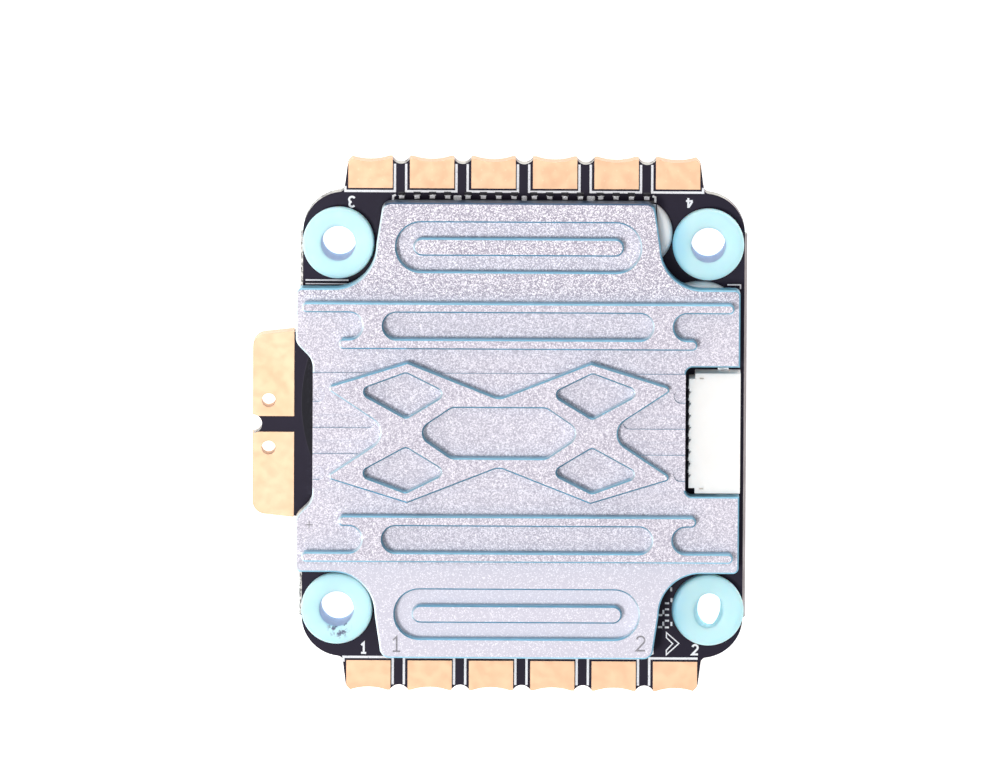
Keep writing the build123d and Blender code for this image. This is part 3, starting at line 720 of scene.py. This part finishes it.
# --- Adhesive squeezed out beside the heat sink -----------------------------------------------
def adhesive_beads():
    """A large half-round bead against the heat sink's edge, and a small one beside it."""
    build = Build("adhesive_beads", [ADHESIVE], "thermal_adhesive")
    small, large = sorted(solids_of("thermal_adhesive_beads"), key=lambda pair: pair[1].y)
    low, high = large
    margin = 0.02  # keeps the crowns inside the CAD box
    cut_at = 0.54  # the flat side's distance from the bead's centre, as a share of the radius
    radius = (high.y - low.y) / 2 / math.sqrt(1 - cut_at ** 2)
    centre_x, middle_y = high.x - radius, (low.y + high.y) / 2
    reach = math.degrees(math.acos((low.x - centre_x) / radius))
    outline = arc(centre_x, middle_y, radius, radius, -reach, reach, 36)
    build.dome(outline, low.z, high.z - margin, ADHESIVE)
    low, high = small
    centre, half = (low + high) / 2, (high - low) / 2
    outline = ellipse(centre.x, centre.y, half.x, half.y, 48)
    build.dome(outline, low.z, high.z - margin, ADHESIVE)
    build.finish("thermal_adhesive_beads")


adhesive_beads()


# --- Signal connector -------------------------------------------------------------------------
shell = softened("connector_housing", "connector_shell", NYLON, 0.06)
shell_low = box_mm("connector_housing")[0]
notch_reach_y, notch_rise = 4.2, 0.6
notch_near, notch_far = 0.1, 0.4
for vertex in shell.data.vertices:  # draws the floors of the contact notches nearer the back wall
    depth = vertex.co.x / MM - shell_low.x
    in_row = abs(vertex.co.y) < notch_reach_y * MM and vertex.co.z / MM > shell_low.z + notch_rise
    if in_row and notch_near < depth < notch_far:
        vertex.co.x = (shell_low.x + 0.4 * depth + 0.06) * MM


# --- Packages ---------------------------------------------------------------------------------
def with_ends(node, name, body_material, slot, end_share, edge):
    """Two-terminal chips: a body between two plated ends, soldered down at both ends."""
    build = Build(name, [body_material, TIN], slot)
    for low, high in solids_of(node):
        side = outward(low, high)
        seat = low.z if side > 0 else high.z
        along = 0 if high.x - low.x > high.y - low.y else 1
        cap = (high[along] - low[along]) * end_share
        inset = 0.012  # the body stands this far inside its plated ends
        body_low, body_high = low.copy(), high.copy()
        body_low[along] += cap * 0.8
        body_high[along] -= cap * 0.8
        for i in range(3):
            if i != along:
                body_low[i] += inset
                body_high[i] -= inset
        build.block(body_low, body_high, body_material, edge * 0.6)
        reach = min(0.35, 0.3 * (high.z - low.z) + 0.12)
        rise = (high.z - low.z) * 0.62
        for end, end_at in ((-1, low[along]), (1, high[along])):
            a, b = low.copy(), high.copy()
            a[along], b[along] = sorted((end_at, end_at - end * cap))
            build.block(a, b, TIN, edge)
            a[along], b[along] = sorted((end_at - end * 0.02, end_at + end * reach))
            solder(build, a, b, seat, side, rise, along, end)
    build.finish(node)


def solder(build, low, high, seat, side, rise, axis, sign, material=TIN):
    """One fillet of solder against a terminal, on either face of the board."""
    build.wedge((low[0], low[1], seat), (high[0], high[1], seat + side * rise), axis, sign, material)


for face in ("top", "bottom"):
    with_ends(f"bulk_capacitors_{face}", f"bulk_chips_{face}", CERAMIC, "ceramic", 0.2, 0.07)
    with_ends(f"small_capacitors_{face}", f"small_chips_{face}", CERAMIC, "ceramic", 0.27, 0.04)
    with_ends(f"small_resistors_{face}", f"resistor_chips_{face}", GLAZE, "resistor_glaze", 0.22, 0.03)
with_ends("current_shunts", "shunt_strips", GLAZE, "shunt_alloy", 0.16, 0.05)
with_ends("surge_diode", "surge_diode_case", EPOXY, "moulding_compound", 0.12, 0.08)
with_ends("buck_inductor", "buck_inductor_block", FERRITE, "ferrite", 0.2, 0.14)


def moulded(node, name, leads, flat, spot_r):
    """Moulded packages with a pin-one spot.

    Leads holds (axis, how many stand along each side of it); flat packages have short, low ones.
    """
    build = Build(name, [EPOXY, TIN, ETCH], "moulding_compound")
    reach, thick = (0.04, 0.2) if flat else (0.42, 0.16)
    buried, fillet, fillet_rise = 0.3, 0.22, 0.15
    for low, high in solids_of(node):
        side = outward(low, high)
        seat, crown = (low.z, high.z) if side > 0 else (high.z, low.z)
        top = Vector((high.x, high.y, max(seat, crown)))
        bottom = Vector((low.x, low.y, min(seat, crown)))
        build.block(bottom, top, EPOXY, 0.09, 2)
        spot = (low.x + 0.16 * (high.x - low.x), high.y - 0.16 * (high.y - low.y))
        shallow = 0.006 * side
        levels = sorted((crown - 4 * shallow, crown + shallow))
        build.prism(ellipse(*spot, spot_r, spot_r, 18), *levels, ETCH)
        for axis, count in leads:
            other = 1 - axis
            pitch = (high[axis] - low[axis]) / (count + 1)
            wide = pitch * 0.27
            for k, end in product(range(count), (-1, 1)):
                place = low[axis] + pitch * (k + 1)
                edge_at = high[other] if end > 0 else low[other]
                a, b = Vector((0, 0, 0)), Vector((0, 0, 0))
                a[axis], b[axis] = place - wide, place + wide
                a[other], b[other] = sorted((edge_at - end * buried, edge_at + end * reach))
                a.z, b.z = sorted((seat, seat + side * thick))
                build.block(a, b, TIN, 0.015, 1)
                a[other], b[other] = sorted((edge_at + end * reach, edge_at + end * (reach + fillet)))
                solder(build, a, b, seat, side, fillet_rise, other, end)
    build.finish(node)


for motor in motor_sides:
    moulded(f"motor_{motor}_controller", f"controller_{motor}", [(0, 8), (1, 8)], True, 0.22)
    moulded(f"motor_{motor}_gate_driver", f"gate_driver_{motor}", [(0, 6), (1, 6)], True, 0.2)
    for face in ("top", "bottom"):
        moulded(f"motor_{motor}_transistors_{face}", f"power_stage_{motor}_{face}", [], True, 0.3)
moulded("current_sense_amplifier", "sense_amplifier", [(1, 3)], False, 0.1)
moulded("buck_regulator", "buck_controller", [(1, 3)], False, 0.1)
moulded("linear_regulator", "linear_regulator_case", [(1, 2)], False, 0.1)


def transistor_solder():
    """Solder toes in front of every power transistor's leads, on their tinned lands."""
    fets = [solid for motor in motor_sides for solid in solids_of(f"motor_{motor}_transistors_top")]
    outer_toes = sorted({round(max(abs(low.y), abs(high.y)), 2) for low, high in fets})
    same_row = 0.35
    wide, reach, rise = 0.09, 0.2, 0.2
    for face in ("top", "bottom"):
        build = Build(f"transistor_solder_{face}", [LEAD], "tinned_metal")
        for low, high in solids_of(f"transistor_leads_{face}"):
            side = outward(low, high)
            seat = low.z if side > 0 else high.z
            centre = (low + high) / 2
            row = abs(centre.y)
            toe = 1 if any(abs(row - y) < same_row for y in outer_toes) else -1
            end = math.copysign(1, centre.y) * toe
            a, b = Vector((low.x - wide, 0, 0)), Vector((high.x + wide, 0, 0))
            tip = high.y if end > 0 else low.y
            a.y, b.y = sorted((tip - end * 0.02, tip + end * reach))
            jitter = 0.75 + 0.5 * noise.noise(Vector((centre.x * 3.1, centre.y * 2.3, side * 5.0)))
            solder(build, a, b, seat, side, rise * jitter, 1, end, LEAD)
            a.y, b.y = sorted((tip + end * (reach - 0.04), tip + end * (reach + 0.06 + 0.05 * jitter)))
            slip = 0.12 * noise.noise(Vector((centre.x * 5.3, centre.y, side * 3.0)))
            levels = sorted((seat - 0.01 * side, seat + 0.05 * side))
            build.block((a.x + slip, a.y, levels[0]), (b.x + slip, b.y, levels[1]), LEAD, 0.02, 1)
        build.finish()


transistor_solder()


# --- Printed legend ---------------------------------------------------------------------------
INK_RISE = 0.02
pad_boxes = sorted(
    (box_mm(node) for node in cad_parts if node.startswith("motor_") and "_pad_" in node),
    key=lambda pair: (pair[0].y, pair[0].x),
)


# Strokes of the plain figures, in a box one unit high about its middle
FIGURES = {
    "1": [[(-0.2, 0.28), (0.04, 0.5), (0.04, -0.5)], [(-0.22, -0.47), (0.28, -0.47)]],
    "2": [arc(0, 0.22, 0.27, 0.27, 165, -35) + [(-0.28, -0.47), (0.3, -0.47)]],
    "3": [arc(-0.03, 0.24, 0.25, 0.25, 150, -80), arc(-0.03, -0.22, 0.29, 0.27, 80, -150)],
    "4": [[(0.12, -0.5), (0.12, 0.5)], [(0.1, 0.46), (-0.28, -0.16)], [(-0.33, -0.2), (0.36, -0.2)]],
    "+": [[(-0.5, 0), (0.5, 0)], [(0, -0.5), (0, 0.5)]],
}


def figure(build, text, place, size, width, level, rise, turned=False, mirrored=False):
    """A plain printed figure about a place; turned reads from +Y, mirrored reads from below."""
    flip_y = -1 if turned else 1
    flip_x = -flip_y if mirrored else flip_y
    for k, stroke in enumerate(FIGURES[text]):
        points = [(place[0] + x * size * flip_x, place[1] + y * size * flip_y) for x, y in stroke]
        build.ribbon(points, width, level, build.materials[0], rise * (1 + 0.1 * k))


def pad_frames(build, level, height):
    """U-shaped lines round the motor pads; the end pads have only a short outer stroke."""
    line_w, line_y, leg_y, gap, shift = 0.19, 19.465, 21.75, 0.245, -0.06
    end_x, end_rise = 14.8, 0.4
    for i, (low, high) in enumerate(pad_boxes):
        side = 1 if low.y > 0 else -1
        column = i % 6
        left, right = low.x - gap + shift, high.x + gap + shift
        stroke = [(left, leg_y), (left, line_y), (right, line_y), (right, leg_y)]
        if column == 0:
            stroke = [(-end_x, line_y + end_rise), (-end_x, line_y)] + stroke[2:]
        if column == 5:
            bare_end = [(end_x - 0.2, line_y)]
            turned_up = [(end_x, line_y), (end_x, line_y + end_rise)]
            stroke = stroke[:2] + (turned_up if side > 0 else bare_end)
        build.ribbon([(x, side * y) for x, y in stroke], line_w, level, INK, height)


def part_outlines(build, level, height):
    """Dashes of the small part outlines that show beside grommet 2."""
    half, width = 0.17, 0.16
    lying = [(12.03, y) for y in (-14.84, -15.34, -15.83, -16.3, -16.86)]
    lying += [(11.47, -15.83), (11.47, -16.84)]
    standing = [(12.4, -14.57), (11.73, -15.57), (11.73, -16.55), (12.4, -16.57), (12.36, -13.67)]
    for x, y in lying:
        build.ribbon([(x - half, y), (x + half, y)], width, level, INK, height)
    for x, y in standing:
        build.ribbon([(x, y - half), (x, y + half)], width, level, INK, height)


def legend_bottom():
    """The underside's frames, motor figures and side marks, to be read from below."""
    build = Build("legend_bottom", [INK], "solder_mask")
    level, height, bold, fine = board_bottom, -INK_RISE, 0.17, 0.14
    pad_frames(build, level, height)
    for motor, (side_x, side_y) in motor_sides.items():
        place = (side_x * 13.6, side_y * 18.55)
        figure(build, str(motor), place, 0.86, bold, level, height, side_y > 0, True)
    mark_x, mark_y, mark = -18.35, 3.3, 0.8
    figure(build, "+", (mark_x, -mark_y), mark, fine, level, height)
    build.ribbon([(mark_x - mark / 2, mark_y), (mark_x + mark / 2, mark_y)], fine, level, INK, height)
    build.finish()


def legend_top():
    """The upper face's frames, motor figures, corner ticks, arrow and part outlines."""
    build = Build("legend_top", [INK], "solder_mask")
    level, height, bold = board_top, INK_RISE, 0.17
    pad_frames(build, level, height)
    figure(build, "3", (-14.27, 18.56), 0.86, bold, level, height, turned=True)
    figure(build, "4", (13.68, 18.6), 0.82, bold, level, height, turned=True)
    figure(build, "1", (-13.15, -18.72), 0.86, bold, level, height)
    figure(build, "2", (14.38, -18.72), 0.82, bold, level, height)
    for side, end in product((1, -1), (1, -1)):
        tick = [(10.85, 18.62), (10.85, 19.05), (10.62, 19.16)]
        build.ribbon([(end * x, side * y) for x, y in tick], bold, level, INK, height)
    lines = [
        (0.13, [(-18.07, 12.02), (-14.5, 12.02)]),
        (0.09, [(-18.07, 11.72), (-14.5, 11.72)]),
        (0.11, [(16.85, 11.8), (17.95, 11.8), (17.95, 11.45)]),
    ]
    for width, points in lines:
        build.ribbon(points, width, level, INK, height)
    outer = [(12.0, -17.3), (13.03, -18.2), (12.0, -19.15)]
    inner = [(12.0, -18.77), (12.52, -18.22), (12.0, -17.72)]
    build.ribbon(outer + inner, 0.1, level, INK, height, closed=True)
    part_outlines(build, level, height)
    build.finish()


legend_top()
legend_bottom()


def test_lands():
    """Tinned lands between the groups of power transistors, along both long edges."""
    build = Build("test_lands", [FROSTED_TIN], "tinned_metal")
    pitch_x, row_y, half_y = 5.52, 18.88, 0.26
    for side, column in product((1, -1), (-1, 0, 1)):
        half_x = 0.34 if column else 0.22
        x, y = column * pitch_x, side * row_y
        low = (x - half_x, y - half_y, board_top - 0.01)
        high = (x + half_x, y + half_y, board_top + 0.12)
        build.block(low, high, FROSTED_TIN, 0.09, 3)
    build.finish()


test_lands()


def pad_vias():
    """Filled vias that show as faint dimples in the +Y row of motor pads."""
    build = Build("pad_vias", [BATTERY_GOLD], "motor_gold")
    via_r, rows_y, columns_x = 0.075, (20.42, 21.28), (-1, 0, 1)
    for low, high in pad_boxes:
        if low.y > 0:
            middle = (low.x + high.x) / 2
            for y, x in product(rows_y, columns_x):
                ring = ellipse(middle + x, y, via_r, via_r, 14)
                build.prism(ring, high.z - 0.02, high.z + 0.006, BATTERY_GOLD)
    build.finish()


pad_vias()


# --- Marks etched into the heat sink ----------------------------------------------------------
def etched_marks():
    build = Build("etched_marks", [ETCH], "anodised_aluminium")
    rise = 0.008
    figure(build, "1", (-10.42, -17.9), 1.25, 0.14, sink_land, rise)
    figure(build, "2", (9.83, -17.75), 1.25, 0.14, sink_land, rise)
    figure(build, "+", (-17.65, -7.95), 0.62, 0.08, sink_land, rise)
    build.finish()


etched_marks()


# --- Camera, light and floor ------------------------------------------------------------------
tilt, roll = math.radians(7.2), math.radians(0.3)
distance = 1.6
pixels_per_mm = 12.07
frame_px, sensor_mm = 1000, 36.0
aim_point = Vector((-1.92, 2.92, board_top)) * MM
camera_data = bpy.data.cameras.new("camera")
camera_data.sensor_width = sensor_mm
camera_data.lens = pixels_per_mm * sensor_mm / frame_px * distance / MM
camera_data.clip_start, camera_data.clip_end = 0.01, 5.0
camera = add_object("camera", camera_data)
camera.rotation_euler = (-tilt, 0, roll)
camera.location = aim_point + camera.rotation_euler.to_matrix() @ Vector((0, 0, distance))
bpy.context.scene.camera = camera


def softbox(name, location, size, power):
    """A round soft light of a size in metres, aimed at the board."""
    data = bpy.data.lights.new(name, "AREA")
    data.shape, data.size, data.energy = "DISK", size, power
    lamp = add_object(name, data)
    lamp.location = location
    toward = Vector((0, 0, board_top * MM)) - lamp.location
    lamp.rotation_euler = toward.to_track_quat("-Z", "Y").to_euler()


softbox("key_high_left", (-0.25, -0.09, 1.1), 0.17, 4.3)
softbox("zenith", (0.0, 0.1, 1.9), 1.3, 4.2)
softbox("rim_left", (-0.6, -0.2, 0.22), 0.25, 1.0)
softbox("far_side", (0.0, 0.9, 0.4), 0.5, 1.1)

world = bpy.data.worlds.new("studio")
bpy.context.scene.world = world
world.use_nodes = True
sky_nodes, sky_links = world.node_tree.nodes, world.node_tree.links
background = sky_nodes["Background"]
direction = sky_nodes.new("ShaderNodeTexCoord")
parts = sky_nodes.new("ShaderNodeSeparateXYZ")
strength = sky_nodes.new("ShaderNodeMapRange")
sky_links.new(direction.outputs["Generated"], parts.inputs[0])
sky_links.new(parts.outputs[0], strength.inputs["Value"])
for socket, number in zip(RANGE_SOCKETS, (-0.9, 0.9, 0.66, 0.4)):  # brighter towards -X
    strength.inputs[socket].default_value = number
sky_links.new(strength.outputs["Result"], background.inputs["Strength"])
background.inputs["Color"].default_value = (1.0, 0.99, 1.0, 1.0)

bpy.context.scene.view_settings.view_transform = "Standard"


def studio_floor():
    """A plain white table that stays bright under the board."""
    data = bpy.data.meshes.new("floor")
    half = 0.6
    corners = [(-half, -half, 0), (half, -half, 0), (half, half, 0), (-half, half, 0)]
    data.from_pydata(corners, [], [(0, 1, 2, 3)])
    finish = Finish("floor_white", (0.9, 0.9, 0.9), 0.9)
    finish.set("Emission Color", (1.0, 1.0, 1.0))
    finish.set("Emission Strength", 0.85)
    data.materials.append(finish.material)
    add_object("floor", data)


studio_floor()
